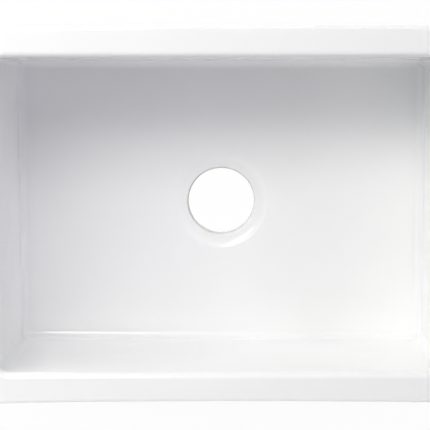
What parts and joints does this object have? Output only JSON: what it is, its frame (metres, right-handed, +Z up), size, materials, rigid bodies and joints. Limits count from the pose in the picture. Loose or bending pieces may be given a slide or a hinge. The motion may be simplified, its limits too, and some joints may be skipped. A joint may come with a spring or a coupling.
{
  "type": "farmhouse apron front sink",
  "caption": "White fireclay farmhouse sink: deep single rectangular bowl, thick rim, open drain hole with recessed seat, plain apron, on an adjustable steel under-counter support.",
  "frame": {"origin": "on the drain's axis, midway across the support, at the level of the rails' lower edges, which the part stands on", "axes": "+Z up, -Y towards the apron front, +X to the right along the apron"},
  "size_m": [0.648, 0.4566, 0.314],
  "materials": {
    "fireclay": "high gloss white glaze, bare buff clay underneath",
    "rail_steel": "galvanised",
    "bar_steel": "galvanised tube",
    "weld_nut_steel": "plain steel",
    "zinc_hardware": "bright zinc",
    "cap_plastic": "matte black",
    "pad_rubber": "matte black rubber"
  },
  "bodies": {
    "support_rails": {"rail_left": "rail_steel", "rail_right": "rail_steel", "weld_nuts": "weld_nut_steel", "washers": "zinc_hardware", "lock_nuts": "zinc_hardware"},
    "bowl_carriage": {"sink_bowl": "fireclay", "bar_front": "bar_steel", "bar_rear": "bar_steel", "end_cap_front_left": "cap_plastic", "end_cap_front_right": "cap_plastic", "end_cap_rear_left": "cap_plastic", "end_cap_rear_right": "cap_plastic", "pad_front_left": "pad_rubber", "pad_front_right": "pad_rubber", "pad_rear_left": "pad_rubber", "pad_rear_right": "pad_rubber"},
    "bolt_front_left": {"levelling_bolt_front_left": "zinc_hardware"},
    "bolt_front_right": {"levelling_bolt_front_right": "zinc_hardware"},
    "bolt_rear_left": {"levelling_bolt_rear_left": "zinc_hardware"},
    "bolt_rear_right": {"levelling_bolt_rear_right": "zinc_hardware"}
  },
  "joints": [
    {"name": "bowl_level", "type": "slide", "parent": "support_rails", "child": "bowl_carriage", "axis": [0, 0, 1], "range_m": [-0.006, 0.008]},
    {"name": "bolt_turn_front_left", "type": "hinge", "parent": "bowl_carriage", "child": "bolt_front_left", "pos_m": [-0.298, -0.125, 0.037], "axis": [0, 0, 1], "range_deg": [-1441, 1921]},
    {"name": "bolt_turn_front_right", "type": "hinge", "parent": "bowl_carriage", "child": "bolt_front_right", "pos_m": [0.298, -0.125, 0.037], "axis": [0, 0, 1], "range_deg": [-1441, 1921]},
    {"name": "bolt_turn_rear_left", "type": "hinge", "parent": "bowl_carriage", "child": "bolt_rear_left", "pos_m": [-0.298, 0.125, 0.037], "axis": [0, 0, 1], "range_deg": [-1441, 1921]},
    {"name": "bolt_turn_rear_right", "type": "hinge", "parent": "bowl_carriage", "child": "bolt_rear_right", "pos_m": [0.298, 0.125, 0.037], "axis": [0, 0, 1], "range_deg": [-1441, 1921]}
  ],
  "couplings": [
    {"joint": "bolt_turn_front_left", "follows": "bowl_level", "rad_per_m": 4188.8},
    {"joint": "bolt_turn_front_right", "follows": "bowl_level", "rad_per_m": 4188.8},
    {"joint": "bolt_turn_rear_left", "follows": "bowl_level", "rad_per_m": 4188.8},
    {"joint": "bolt_turn_rear_right", "follows": "bowl_level", "rad_per_m": 4188.8}
  ]
}
